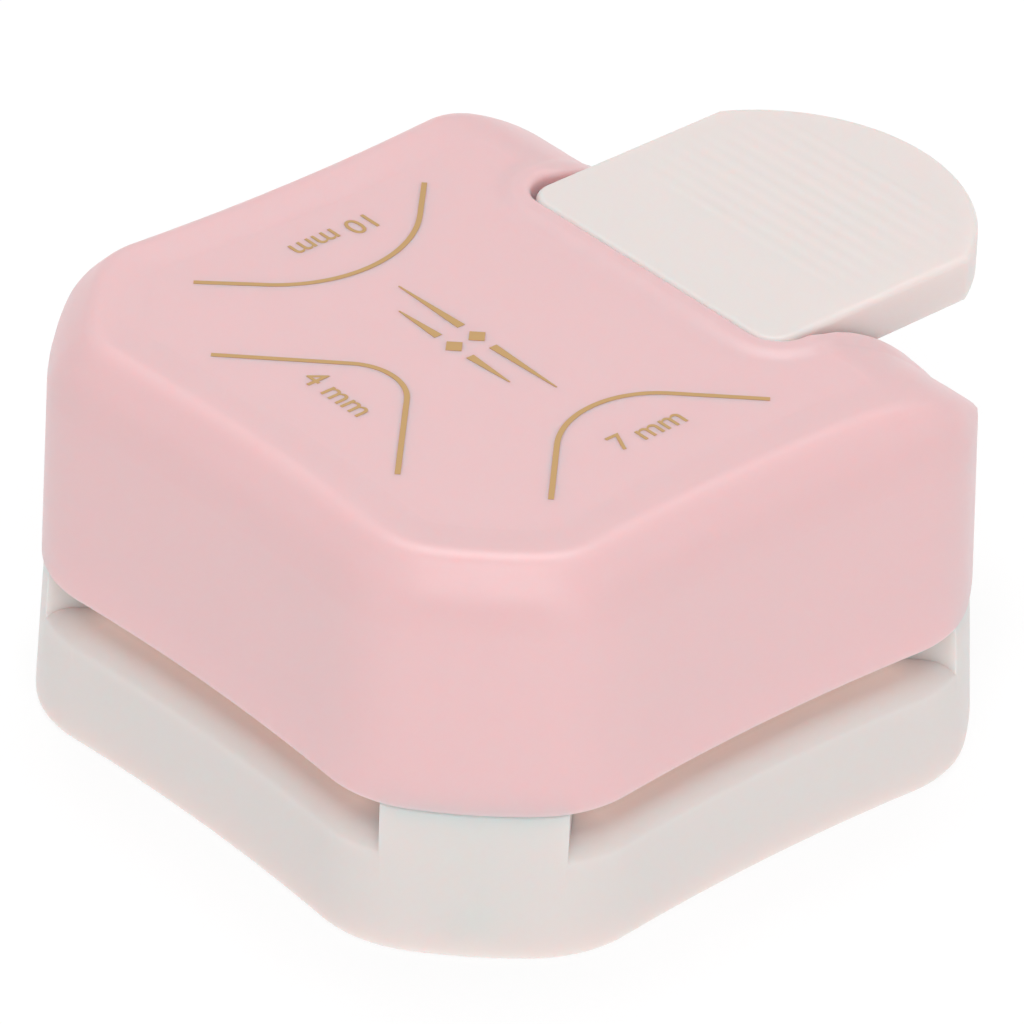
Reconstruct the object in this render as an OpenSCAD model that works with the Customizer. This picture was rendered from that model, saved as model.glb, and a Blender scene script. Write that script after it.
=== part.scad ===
// Three-way corner rounder: a hand press that cuts 4, 7 or 10 mm round corners in paper.
// The origin is the middle of the body on the table, +Z is up.
// -Y is the 4 mm side, +X the 7 mm side, -X the 10 mm side, and the lever stands out at +Y.

/* [Body] */
// Half the width of the body at the middle of a hollow side
waist = 26.2; // [25.8:0.1:27]
// Distance from the middle to a corner, along the diagonal
corner = 31.4; // [31.2:0.1:32]
// Radius of the shallow hollow in each side
side_r = 163; // [140:1:200]
// Radius of the swept cap on each corner
cap_r = 32.3; // [30:0.1:34]
// Radius that joins a side to a corner cap
blend_r = 8.8; // [8.4:0.1:9.5]
// Height of the top of the cover above the table
body_h = 29; // [28.9:0.1:30]
// Height of the seam between the base and the cover
seam_z = 11; // [11:0.1:11.2]
// Thickness of the moulded walls
wall = 1.8; // [1.6:0.1:2]
// Radius of the shoulder round the front and the sides of the cover
shoulder_r = 4.5; // [4:0.1:6]
// Radius of the shoulder towards the lever
back_shoulder_r = 8; // [5:0.1:8]

/* [Cutting stations] */
// Height of the floor that the paper lies on
floor_z = 8.2; // [8.1:0.1:8.4]
// Distance from the middle to the point where the two paper guides meet
stop_u = 8.7; // [8.5:0.1:9]
// Radius cut at the front station
radius_front = 4; // [3:0.5:5]
// Radius cut at the right station
radius_right = 7; // [6:0.5:8]
// Radius cut at the left station
radius_left = 10; // [9:0.5:10]
// Clearance between a punch and its die
cut_clear = 0.03; // [0.02:0.01:0.06]

/* [Lever] */
// Half the width of the thumb plate
lever_hw = 12.5; // [12.2:0.1:12.6]
// How far the thumb plate reaches behind the middle of the body
lever_tip = 37.1; // [36:0.1:38]
// Front edge of the thumb plate
lever_front = 11.7; // [11.6:0.1:12]
// Thickness of the thumb plate
lever_t = 3.5; // [3:0.1:4]
// Distance from the lever's pin to the middle of the body
pivot_l = 18.5; // [18.4:0.1:18.8]
// Angle through which the lever is pressed
press_angle = 11.4; // [11:0.1:11.6]

/* [Hidden] */
$fn = 48;
eps = 0.01;

white = [0.92, 0.89, 0.87];
pink = [0.95, 0.76, 0.77];
steel = [0.72, 0.73, 0.75];

// Plan outline of the body: one eighth, as [point, outward normal], from the middle of a side to a corner
side_c = [waist + side_r, 0];
cap_k = (corner - cap_r) / sqrt(2);
cap_c = [cap_k, cap_k];
reach = norm(side_c - cap_c);
near_side = (pow(side_r + blend_r, 2) - pow(cap_r - blend_r, 2) + reach * reach) / (2 * reach);
off_line = sqrt(pow(side_r + blend_r, 2) - near_side * near_side);
along = (cap_c - side_c) / reach;
blend_c = side_c + along * near_side + [along[1], -along[0]] * off_line;
side_a = atan2(blend_c[1] - side_c[1], side_c[0] - blend_c[0]);
cap_a = atan2(blend_c[1] - cap_c[1], blend_c[0] - cap_c[0]);
function away(a) = [cos(a), sin(a)];
eighth = concat(
    [for (i = [0:3]) let (a = side_a * i / 4) [side_c - side_r * away(-a), away(-a)]],
    [for (i = [0:6]) let (a = -side_a + (cap_a + side_a) * i / 6) [blend_c + blend_r * away(a), away(a)]],
    [for (i = [1:3]) let (a = cap_a + (45 - cap_a) * i / 3) [cap_c + cap_r * away(a), away(a)]]);
function swap(p) = [p[1], p[0]];
last = len(eighth) - 1;
quarter = concat(eighth, [for (i = [last - 1:-1:1]) [swap(eighth[i][0]), swap(eighth[i][1])]]);
function quarter_turn(p, n) = n == 0 ? p : quarter_turn([-p[1], p[0]], n - 1);
outline = [for (n = [0:3]) for (q = quarter) [quarter_turn(q[0], n), quarter_turn(q[1], n)]];
count = len(outline);
function grown(o) = [for (q = outline) q[0] + q[1] * o];

// Heights of the press
frame_t = 2.6;
frame_top = seam_z + frame_t;
carrier_z = frame_top + 4.2;
carrier_t = 2.8;
carrier_top = carrier_z + carrier_t;
pad_t = 0.6;
nose_r = 2;
nose_gap = 0.1;
nose_rise = pivot_l * sin(press_angle / 2);
nose_z = carrier_top + pad_t / 2 + nose_gap + nose_r;
pivot_y = -pivot_l;
pivot_z = nose_z - nose_rise;
pin_r = 1.5;
pin_clear = 0.05;
ear_in = 13;
ear_t = 2.5;
ear_r = 3.2;

// Die plate, posts and screws
plate_t = 1.6;
plate_x = 19;
plate_y = 13.5;
tongue_x = 10;
tongue_y = 18;
die_screw_at = [14.8, 11];
post_at = [10.5, 11.5];
post_r = 1.5;
post_top = carrier_z + 1;
frame_screw_at = [17.1, 17.1];
case_screw_at = [20.3, 20.3];
boss_r = 2.6;
boss_top = 20;

// Rolled outer edge of the slot floors; the roll stands a little proud so that it cuts cleanly
lip_r = 1.8;
lip_sweep = 8;
lip_out = 0.15;
lip_up = 0.03;

// Chip lid and its rails
lid_z = 0.5;
lid_t = 1.4;
lid_hw = 17;
lid_front = -19.6;
lid_back = 26;
lip_t = 0.4;
lip_in = 15.8;
slide_gap = 0.12;

// Notch that the lever stands in
notch_gap = 0.6;
notch_hw = lever_hw + notch_gap;
notch_y = lever_front - 0.4;
notch_r = 2;
window_z = 15;

// Springs, in wells sunk through the frame into the guide ribs
well_r = 2.75;
well_z = floor_z + 0.6;
spring_r = 2.2;
wire_r = 0.3;
spring_turns = 6.5;

module station(name) {
    turn = name == "front" ? -90 : name == "right" ? 0 : 180;
    rotate([0, 0, turn]) children();
}
function radius_of(name) = name == "front" ? radius_front : name == "right" ? radius_right : radius_left;
stations = ["front", "right", "left"];

// Region of the paper corner, opening outwards from the stop at 45 degrees each side
module paper_corner(shift = 0, reach = 40)
    polygon([[stop_u + shift, 0], [stop_u + shift + reach, -reach], [stop_u + shift + reach, reach]]);

// Section of a punch: a block whose outer edge is the cut line, made larger all round by c
punch_in = 6.7;
run_out = 0.8;
module punch_section(r, c = 0) {
    tangent = r / sqrt(2);
    half = tangent + run_out + c;
    difference() {
        translate([punch_in - c, -half]) square([stop_u + tangent + run_out + c - punch_in + c, 2 * half]);
        intersection() {
            paper_corner(c * sqrt(2));
            union() {
                translate([stop_u + r * sqrt(2), 0]) circle(r = r - c, $fn = 96);
                translate([stop_u + tangent, -30]) square(60);
            }
        }
    }
}

// Places that repeat
module corners(at) for (x = [-1, 1], y = [-1, 1]) translate([x * at[0], y * at[1], 0]) children();
module posts() corners(post_at) children();
module punch_screw_places()
    for (s = stations) station(s) translate([stop_u + (radius_of(s) - 4) * 0.22, 0, 0]) children();

// Screw standing head down: head from z = 0 up, shank above it
module screw(head_r, head_t, shank_r, length) {
    difference() {
        cylinder(r = head_r, h = head_t);
        for (a = [0, 90]) rotate([0, 0, a])
            translate([-head_r * 0.6, -0.2, -eps]) cube([head_r * 1.2, 0.4, head_t * 0.5]);
    }
    translate([0, 0, head_t - eps]) cylinder(r = shank_r, h = length - head_t + eps);
    translate([0, 0, length - eps]) cylinder(r1 = shank_r, r2 = shank_r * 0.4, h = shank_r);
}

// Cutter for the rolled outer edge of a slot floor, turned about the centre of the hollow side
module rolled_lip() intersection() {
    translate([waist + side_r, 0, 0]) rotate([0, 0, 180 - lip_sweep]) rotate_extrude(angle = 2 * lip_sweep)
        translate([side_r, floor_z - lip_r]) difference() {
            translate([-1, 0]) square([lip_r + 1, lip_r + 1]);
            translate([lip_r - lip_out, lip_up]) circle(r = lip_r);
        }
    linear_extrude(seam_z) paper_corner();
}

module base_housing() color(white) {
    difference() {
        linear_extrude(seam_z) polygon(grown(0));
        // chip chamber under the deck, open to the table side for the lid
        translate([-lid_hw - slide_gap, lid_front - slide_gap, lip_t])
            cube([2 * (lid_hw + slide_gap), 60, lid_z + lid_t + slide_gap - lip_t]);
        translate([-lip_in, lid_front + 1.2, -eps]) cube([2 * lip_in, 38, 3]);
        translate([-lid_hw + 0.2, lid_front + 0.4, lip_t]) cube([2 * lid_hw - 0.4, 38, floor_z - plate_t - lip_t]);
        // opening in the back wall for the lid's pull
        translate([-lid_hw - slide_gap, 20, -eps])
            cube([2 * (lid_hw + slide_gap), 10, lid_z + lid_t + slide_gap + eps]);
        // pocket for the die plate, from below
        translate([0, 0, 1]) linear_extrude(floor_z - 1) {
            square([2 * plate_x + 0.1, 2 * plate_y + 0.1], center = true);
            translate([-tongue_x - 0.05, -tongue_y - 0.05]) square([2 * tongue_x + 0.1, 8]);
        }
        // paper slots, and the punches' way through the guide ribs
        for (s = stations) station(s) {
            translate([0, 0, floor_z]) linear_extrude(5) paper_corner();
            translate([0, 0, floor_z - 1]) linear_extrude(5) punch_section(radius_of(s), 0.3);
        }
        // screw holes
        corners(case_screw_at) {
            translate([0, 0, -eps]) cylinder(r = 2, h = 3);
            cylinder(r = 1.1, h = 20);
        }
        corners(frame_screw_at) translate([0, 0, 6.8]) cylinder(r = 0.8, h = 10);
        corners(die_screw_at) translate([0, 0, floor_z - 1]) cylinder(r = 0.7, h = 3.6);
        posts() {
            translate([0, 0, floor_z - 1]) cylinder(r = post_r, h = 5);
            translate([0, 0, well_z]) cylinder(r = well_r, h = 5);
        }
        for (s = stations) station(s) rolled_lip();
    }
    // chamber walls beside the punches keep the pillars apart from the chips
    difference() {
        for (x = [-1, 1]) translate([x * (lid_hw + 0.9), 0, (floor_z - plate_t + lid_z + lid_t + slide_gap) / 2])
            cube([1.8, 36, floor_z - plate_t - lid_z - lid_t - slide_gap], center = true);
        corners(case_screw_at) cylinder(r = 2.2, h = 20);
    }
}

module chip_lid() color(white) difference() {
    union() {
        translate([-lid_hw, lid_front, lid_z]) cube([2 * lid_hw, lid_back - lid_front, lid_t]);
        translate([-lid_hw, lid_back - 1.4, 0.2]) cube([2 * lid_hw, 1.4, lid_z + lid_t - 0.2]);
        // rib that snaps behind the chamber's front wall
        translate([-6, lid_front + 2, lid_z + lid_t - eps]) cube([12, 0.8, 0.4]);
    }
    // finger scoop under the pull
    translate([0, lid_back + 1.2, -1.6]) rotate([0, 90, 0]) cylinder(r = 2.6, h = 14, center = true);
    for (i = [0:4]) translate([-5, lid_back - 6 - i * 1.6, lid_z - eps]) cube([10, 0.6, 0.3]);
}

module die_plate() color(steel) difference() {
    translate([0, 0, floor_z - plate_t]) linear_extrude(plate_t) {
        square([2 * plate_x, 2 * plate_y], center = true);
        translate([-tongue_x, -tongue_y]) square([2 * tongue_x, 8]);
    }
    for (s = stations) station(s)
        translate([0, 0, floor_z - plate_t - 1]) linear_extrude(plate_t + 2) punch_section(radius_of(s), cut_clear);
    corners(die_screw_at) translate([0, 0, floor_z - plate_t - 1]) cylinder(r = 0.95, h = plate_t + 2);
    posts() translate([0, 0, floor_z - plate_t - 1]) cylinder(r = post_r, h = plate_t + 2);
}

module die_screws() color(steel)
    corners(die_screw_at) translate([0, 0, floor_z - plate_t - 1]) screw(1.6, 1, 0.7, 4.4);

module upper_frame() color(white) {
    difference() {
        union() {
            translate([0, 0, seam_z]) linear_extrude(frame_t) polygon(grown(-wall - 0.4));
            for (x = [-1, 1]) {
                translate([x * (ear_in + ear_t / 2), pivot_y, pivot_z]) rotate([0, 90, 0])
                    cylinder(r = ear_r, h = ear_t, center = true);
                translate([x * (ear_in + ear_t / 2) - ear_t / 2, pivot_y - ear_r, frame_top - eps])
                    cube([ear_t, 2 * ear_r, pivot_z - frame_top + eps]);
            }
        }
        for (s = stations) station(s)
            translate([0, 0, seam_z - 1]) linear_extrude(frame_t + 2) punch_section(radius_of(s), 0.05);
        for (x = [-1, 1]) translate([x * (ear_in + ear_t / 2), pivot_y, pivot_z]) rotate([0, 90, 0])
            cylinder(r = pin_r + 0.01, h = ear_t + 1, center = true);
        posts() translate([0, 0, seam_z - 1]) cylinder(r = well_r, h = frame_t + 4);
        corners(frame_screw_at) translate([0, 0, seam_z - 1]) cylinder(r = 1, h = frame_t + 2);
        corners(case_screw_at) translate([0, 0, seam_z - 1]) cylinder(r = boss_r + 0.15, h = frame_t + 2);
    }
}

module frame_screws() color(steel)
    corners(frame_screw_at) translate([0, 0, frame_top + 1.2]) mirror([0, 0, 1]) screw(1.5, 1.2, 0.8, 6.4);

module guide_posts() color(steel) posts() {
    translate([0, 0, floor_z - plate_t]) cylinder(r = post_r, h = post_top - floor_z + plate_t - 0.4);
    translate([0, 0, post_top - 0.4 - eps]) cylinder(r1 = post_r, r2 = post_r - 0.4, h = 0.4);
}

// Compression spring round a guide post: a wire swept along a helix, flat turns at both ends
spring_h = carrier_z - well_z;
spring_steps = 12;
spring_sides = 6;
end_rise = 2.1 * wire_r / (spring_h - 2 * wire_r);
module return_spring() {
    n = spring_turns * spring_steps;
    function rise(i) = let (t = i / spring_steps, f = (t - 1) / (spring_turns - 2))
        wire_r + (spring_h - 2 * wire_r) * (t < 1 ? end_rise * t : t > spring_turns - 1
            ? 1 - end_rise * (spring_turns - t) : end_rise + (1 - 2 * end_rise) * f);
    points = [for (i = [0:n]) for (j = [0:spring_sides - 1])
        let (a = 360 * i / spring_steps, b = 360 * j / spring_sides, r = spring_r + wire_r * cos(b))
        [r * cos(a), r * sin(a), rise(i) + wire_r * sin(b)]];
    skin = [for (i = [0:n - 1]) for (j = [0:spring_sides - 1]) let (k = (j + 1) % spring_sides,
        a = i * spring_sides, b = a + spring_sides) each [[a + j, a + k, b + k], [a + j, b + k, b + j]]];
    ends = [[for (j = [spring_sides - 1:-1:0]) j], [for (j = [0:spring_sides - 1]) n * spring_sides + j]];
    color(steel) translate([0, 0, well_z]) polyhedron(points, concat(skin, ends));
}
module return_spring_front_left() translate([-post_at[0], -post_at[1], 0]) return_spring();
module return_spring_front_right() translate([post_at[0], -post_at[1], 0]) return_spring();
module return_spring_back_left() translate([-post_at[0], post_at[1], 0]) return_spring();
module return_spring_back_right() translate([post_at[0], post_at[1], 0]) return_spring();

punch_seat = 2.2;
module punch_carrier() color(white) difference() {
    union() {
        translate([0, 0, carrier_z]) linear_extrude(carrier_t) {
            translate([-18.4, -9.6]) square([18.4 + 15.6, 19.2]);
            translate(-post_at) square(2 * post_at);
            translate([-5.6, -14]) square([11.2, 8]);
        }
        posts() translate([0, 0, carrier_z]) cylinder(r = 2.9, h = carrier_t);
    }
    posts() translate([0, 0, carrier_z - 1]) cylinder(r = post_r + pin_clear, h = carrier_t + 2);
    for (s = stations) station(s)
        translate([0, 0, carrier_z - 1]) linear_extrude(punch_seat + 1) punch_section(radius_of(s), 0.01);
    punch_screw_places() {
        translate([0, 0, carrier_z]) cylinder(r = 0.95, h = carrier_t + 1);
    }
    translate([-6.2, -2.2, carrier_top - pad_t / 2]) cube([12.4, 4.4, 2]);
}

module wear_pad() color(steel)
    translate([-6.15, -2.15, carrier_top - pad_t / 2]) cube([12.3, 4.3, pad_t]);

module punch(name) color(steel) difference() {
    station(name) translate([0, 0, seam_z + 0.15])
        linear_extrude(carrier_z + punch_seat - seam_z - 0.15) punch_section(radius_of(name));
    punch_screw_places() translate([0, 0, carrier_z - 2]) cylinder(r = 0.8, h = 8);
}
module punch_r4() punch("front");
module punch_r7() punch("right");
module punch_r10() punch("left");

module punch_screws() color(steel)
    punch_screw_places() translate([0, 0, carrier_top + 0.8]) mirror([0, 0, 1]) screw(1.5, 0.8, 0.8, 4.6);

// Thumb plate seen from above: straight sides, soft front corners and a round tip
plate_side_y = 29.6;
tip_r = 14.2;
front_r = 1.8;
module thumb_plan(inset = 0) {
    hw = lever_hw - inset;
    translate([-hw + front_r, lever_front + inset]) square([2 * (hw - front_r), 8]);
    translate([-hw, lever_front + inset + front_r]) square([2 * hw, plate_side_y - lever_front - inset - front_r]);
    for (x = [-1, 1]) translate([x * (hw - front_r), lever_front + inset + front_r]) circle(r = front_r);
    intersection() {
        translate([0, lever_tip - tip_r]) circle(r = tip_r - inset, $fn = 96);
        translate([-hw, plate_side_y - 6]) square([2 * hw, 20]);
    }
}

beam_hw = 7.2;
beam_top = body_h - 3.5;
thumb_top = body_h - 0.3;
module lever() color(white) difference() {
    union() {
        // thumb plate with ribs in the hollow under it
        difference() {
            translate([0, 0, thumb_top - lever_t]) linear_extrude(lever_t) thumb_plan();
            translate([0, 0, thumb_top - lever_t - 1]) linear_extrude(lever_t - 0.6)
                intersection() {
                    thumb_plan(1.6);
                    translate([-20, lever_front + 5]) square(40);
                }
        }
        translate([0, 0, thumb_top - lever_t]) linear_extrude(lever_t - 1) intersection() {
            thumb_plan(0.5);
            union() {
                for (x = [-2, 2]) translate([x * 2 - 0.5, lever_front]) square([1, 40]);
                for (y = [20.5, 26.5, 32]) translate([-20, y]) square([40, 1]);
            }
        }
        // beam from the thumb plate to the pin, its underside rising away from the nose
        rotate([90, 0, 90]) translate([0, 0, -beam_hw]) linear_extrude(2 * beam_hw)
            polygon([[pivot_y, pivot_z - 1.5], [-15, nose_z - 1.4], [0, nose_z - 1.4], [2, nose_z - 1.2],
                     [lever_front + 6, nose_z + 2.6], [lever_front + 6, beam_top + 0.5],
                     [lever_front + 0.2, beam_top + 0.5], [lever_front - 0.2, beam_top],
                     [-8, beam_top], [pivot_y, pivot_z + 2]]);
        translate([0, 0, nose_z]) rotate([0, 90, 0]) cylinder(r = nose_r, h = 11.6, center = true);
        translate([0, pivot_y, pivot_z]) rotate([0, 90, 0])
            cylinder(r = 3, h = 2 * ear_in - 0.4, center = true);
    }
    translate([0, pivot_y, pivot_z]) rotate([0, 90, 0])
        cylinder(r = pin_r + pin_clear, h = 40, center = true);
    // lightening pockets in the top of the beam, either side of its middle rib
    for (x = [-4, 4]) translate([x - 2.4, -11, beam_top - 1.6]) cube([4.8, 17, 5]);
}

module lever_pin() color(steel) difference() {
    translate([0, pivot_y, pivot_z]) rotate([0, 90, 0]) cylinder(r = pin_r, h = 34, center = true);
    for (x = [-1, 1]) translate([x * 16, pivot_y, pivot_z]) rotate([0, 90, 0]) difference() {
        cylinder(r = 3, h = 0.6, center = true);
        cylinder(r = 1.1, h = 1, center = true);
    }
}

module pin_clips() color(steel)
    for (x = [-1, 1]) translate([x * 16, pivot_y, pivot_z]) rotate([0, 90, 0]) difference() {
        cylinder(r = 2.6, h = 0.5, center = true);
        cylinder(r = 1.12, h = 1, center = true);
        translate([-3, -0.8, -1]) cube([3, 1.6, 2]);
    }

// Cover shell: outline points carried up the drafted wall and over a shoulder
draft = 0.03;
arc_steps = 6;
function smooth(t) = let (u = min(1, max(0, t))) u * u * (3 - 2 * u);
function shoulder_at(p) = shoulder_r + (back_shoulder_r - shoulder_r) * smooth((p[1] - 6) / 12);
function wall_point(q, z, inset) = let (p = q[0] - q[1] * (inset + draft * (z - seam_z))) [p[0], p[1], z];
function shell_ring(a, inset, top) = [for (q = outline) let (r = shoulder_at(q[0]) - inset)
    wall_point(q, top - r + r * sin(a), inset + r * (1 - cos(a)))];
module dome(inset, low, top) {
    rings = concat([[for (q = outline) wall_point(q, low, inset)]],
                   [for (i = [0:arc_steps]) shell_ring(90 * i / arc_steps, inset, top)]);
    levels = len(rings);
    skin = [for (k = [0:levels - 2]) for (i = [0:count - 1]) let (j = (i + 1) % count)
        [k * count + i, (k + 1) * count + i, (k + 1) * count + j, k * count + j]];
    ends = [[for (i = [0:count - 1]) i], [for (i = [count - 1:-1:0]) (levels - 1) * count + i]];
    polyhedron([for (r = rings) for (p = r) p], concat(skin, ends));
}
module notch_plan(grow = 0) {
    hw = notch_hw + grow;
    front = notch_y - grow;
    r = notch_r + grow;
    translate([-hw, front + r]) square([2 * hw, 40]);
    translate([-hw + r, front]) square([2 * (hw - r), 40]);
    for (x = [-1, 1]) translate([x * (hw - r), front + r]) circle(r = r);
}
module top_cover() color(pink) {
    difference() {
        union() {
            difference() {
                dome(0, seam_z, body_h);
                dome(wall, seam_z - 1, body_h - wall);
            }
            intersection() {
                dome(0.6, seam_z + 0.5, body_h - 0.6);
                union() {
                    corners(case_screw_at) translate([0, 0, seam_z]) cylinder(r = boss_r, h = boss_top - seam_z);
                    // flange round the notch, deeper where it stands beside the lever's path
                    translate([0, 0, body_h - 3.2]) linear_extrude(4) notch_plan(1.4);
                    for (x = [-1, 1]) translate([x * (notch_hw + 0.7) - 0.7, 16.4, window_z]) cube([1.4, 12, 14]);
                }
            }
        }
        translate([0, 0, body_h - 8]) linear_extrude(20) notch_plan();
        translate([-notch_hw, 16.4, window_z]) cube([2 * notch_hw, 20, 20]);
        corners(case_screw_at) translate([0, 0, seam_z - 1]) cylinder(r = 0.9, h = 8);
    }
}

module case_screws() color(steel)
    corners(case_screw_at) translate([0, 0, 1.4]) screw(1.8, 1.5, 0.9, 14);

base_housing();
chip_lid();
die_plate();
die_screws();
upper_frame();
frame_screws();
guide_posts();
return_spring_front_left();
return_spring_front_right();
return_spring_back_left();
return_spring_back_right();
punch_carrier();
punch_r4();
punch_r7();
punch_r10();
punch_screws();
wear_pad();
lever();
lever_pin();
pin_clips();
top_cover();
case_screws();
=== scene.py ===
# %% [markdown]
# # A three-way corner rounder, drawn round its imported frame
# The press is a palm-sized moulding: a white base with three paper slots, a pink cover with a soft
# shoulder, and a white thumb lever that stands out at the back. The frame holds every part where the
# design puts it. This lesson keeps the small inner parts as they are and gives them their finishes,
# and draws the three large mouldings again as smooth surfaces, because their soft edges are what the
# eye reads first.

# %% Load the frame
import math

import bmesh
import bpy
import numpy as np
from mathutils import Matrix, Vector


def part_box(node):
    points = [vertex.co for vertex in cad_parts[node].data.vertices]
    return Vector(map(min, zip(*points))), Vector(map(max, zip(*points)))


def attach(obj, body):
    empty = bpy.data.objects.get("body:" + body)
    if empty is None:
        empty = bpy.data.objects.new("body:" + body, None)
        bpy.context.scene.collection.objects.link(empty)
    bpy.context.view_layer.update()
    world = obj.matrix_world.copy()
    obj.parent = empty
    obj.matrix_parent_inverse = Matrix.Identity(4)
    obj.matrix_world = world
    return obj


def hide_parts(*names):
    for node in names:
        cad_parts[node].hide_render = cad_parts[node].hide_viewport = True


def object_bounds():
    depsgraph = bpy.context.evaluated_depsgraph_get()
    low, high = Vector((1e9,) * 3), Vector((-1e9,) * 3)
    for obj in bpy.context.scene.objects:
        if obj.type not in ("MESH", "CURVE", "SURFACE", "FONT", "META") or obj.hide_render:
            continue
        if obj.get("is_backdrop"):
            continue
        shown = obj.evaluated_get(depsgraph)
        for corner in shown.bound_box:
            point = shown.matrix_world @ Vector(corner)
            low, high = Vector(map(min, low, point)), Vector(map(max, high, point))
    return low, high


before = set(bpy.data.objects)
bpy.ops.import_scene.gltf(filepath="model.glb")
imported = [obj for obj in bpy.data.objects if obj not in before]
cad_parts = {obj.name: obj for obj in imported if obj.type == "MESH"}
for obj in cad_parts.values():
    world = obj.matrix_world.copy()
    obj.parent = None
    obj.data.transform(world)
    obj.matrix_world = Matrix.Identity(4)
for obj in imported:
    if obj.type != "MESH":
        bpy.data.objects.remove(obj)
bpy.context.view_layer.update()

scene = bpy.context.scene
MM = 0.001
print("nodes:", len(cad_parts))

# %% [markdown]
# ## Measures
# Everything below is in millimetres and is turned into metres when a mesh is made. Heights and widths
# come from the frame's own boxes. The plan of the body can't be read from a box, so its five driving
# values are named here: a shallow hollow on each side, a swept cap on each corner, and a blend that
# is tangent to both.

# %% Heights and widths
def node_box(node):
    """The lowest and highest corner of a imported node, in millimetres."""
    low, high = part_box(node)
    return np.array(low) / MM, np.array(high) / MM


seam_z = node_box("base_housing")[1][2]
plate_front = 11.7
lever_hw = 12.5
notch_hw = 13.1
cover_top = node_box("top_cover")[1][2]
lever_high = node_box("lever")[1]
lever_top = lever_high[2]
lever_tip = lever_high[1]
plate_low, plate_high = node_box("die_plate")
floor_z = plate_high[2]
waist = 26.2
corner = 31.4
side_r = 163.0
cap_r = 32.3
blend_r = 8.8
stop_u = 8.7
print("seam", round(seam_z, 2), "cover top", round(cover_top, 2), "lever top", round(lever_top, 2))

# %% [markdown]
# ## Plan of the body
# One eighth of the plan runs from the middle of a side to the middle of a corner: an arc of the hollow,
# an arc of the blend and an arc of the cap. The blend's centre lies where two circles cross, one about
# the hollow's centre and one about the cap's. The eighth is mirrored in the diagonal and turned four
# times. Each point is kept with its outward normal, so an outline grown or shrunk by any amount is just
# point + normal x amount, and every offset has the same number of points in the same order.

# %% Outline points and normals
def turned(points, angle):
    """Rows of x, y turned by angle degrees about the origin."""
    c, s = math.cos(math.radians(angle)), math.sin(math.radians(angle))
    return points @ np.array([[c, s], [-s, c]])


def arc(centre, radius, start, end, count, hollow=False):
    """Points and outward normals on an arc: centre + radius x direction, from start to end degrees."""
    angle = np.radians(np.linspace(start, end, count))
    way = np.column_stack([np.cos(angle), np.sin(angle)])
    points = np.asarray(centre) + radius * way
    return points, (-way if hollow else way)


def body_outline(side_count=22, blend_count=22, cap_count=10):
    """The closed plan outline, anticlockwise from the middle of the +X side."""
    side_c = np.array([waist + side_r, 0.0])
    cap_c = np.full(2, (corner - cap_r) / math.sqrt(2))
    reach = np.linalg.norm(cap_c - side_c)
    far, near = side_r + blend_r, cap_r - blend_r
    step = (far ** 2 - near ** 2 + reach ** 2) / (2 * reach)
    off = math.sqrt(far ** 2 - step ** 2)
    along = (cap_c - side_c) / reach
    blend_c = side_c + along * step + np.array([along[1], -along[0]]) * off
    side_a = math.degrees(math.atan2(blend_c[1] - side_c[1], side_c[0] - blend_c[0]))
    cap_a = math.degrees(math.atan2(blend_c[1] - cap_c[1], blend_c[0] - cap_c[0]))
    runs = [arc(side_c, side_r, 180, 180 - side_a, side_count, hollow=True),
            arc(blend_c, blend_r, -side_a, cap_a, blend_count),
            arc(cap_c, cap_r, cap_a, 45, cap_count)]
    points = np.vstack([runs[0][0][:-1], runs[1][0][:-1], runs[2][0]])
    normals = np.vstack([runs[0][1][:-1], runs[1][1][:-1], runs[2][1]])
    points = np.vstack([points, points[-2:0:-1, ::-1]])
    normals = np.vstack([normals, normals[-2:0:-1, ::-1]])
    quarters = [(turned(points, a), turned(normals, a)) for a in (0, 90, 180, 270)]
    return np.vstack([q[0] for q in quarters]), np.vstack([q[1] for q in quarters])


plan, plan_n = body_outline()
print("outline:", len(plan), "points,", round(2 * plan[:, 0].max(), 2), "mm wide")

# %% [markdown]
# ## Making meshes
# A surface here is a grid of points, rows by columns. The helper below turns such grids, and any flat
# faces that close them, into one mesh. Grids that share an edge are joined afterwards by merging points
# that coincide, and the mesh is then shaded smooth except across edges sharper than a chosen angle.

# %% Mesh helpers
def grid_faces(rows, cols, start=0, closed=False):
    """Quads of a rows x cols grid whose points are numbered row by row from start."""
    r, c = np.meshgrid(np.arange(rows - 1), np.arange(cols if closed else cols - 1), indexing="ij")
    right = (c + 1) % cols
    quads = np.stack([r * cols + c, r * cols + right, (r + 1) * cols + right, (r + 1) * cols + c], axis=-1)
    return start + quads.reshape(-1, 4)


class Surface:
    """Collects grids and flat faces, in millimetres, and makes one welded mesh of them."""

    def __init__(self):
        self.points = []
        self.faces = []
        self.count = 0

    def grid(self, points, closed=False, flip=False):
        rows, cols = points.shape[:2]
        quads = grid_faces(rows, cols, self.count, closed)
        self.points.append(points.reshape(-1, 3))
        self.faces += (quads[:, ::-1] if flip else quads).tolist()
        self.count += rows * cols

    def flat(self, points, flip=False):
        face = list(range(self.count, self.count + len(points)))
        self.points.append(np.asarray(points, float))
        self.faces.append(face[::-1] if flip else face)
        self.count += len(points)

    def build(self, name, sharp=35, weld=0.002):
        mesh = bpy.data.meshes.new(name)
        mesh.from_pydata((np.vstack(self.points) * MM).tolist(), [], self.faces)
        piece = bpy.data.objects.new(name, mesh)
        scene.collection.objects.link(piece)
        welded(piece, weld)
        shaded(piece, sharp)
        return piece


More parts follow.
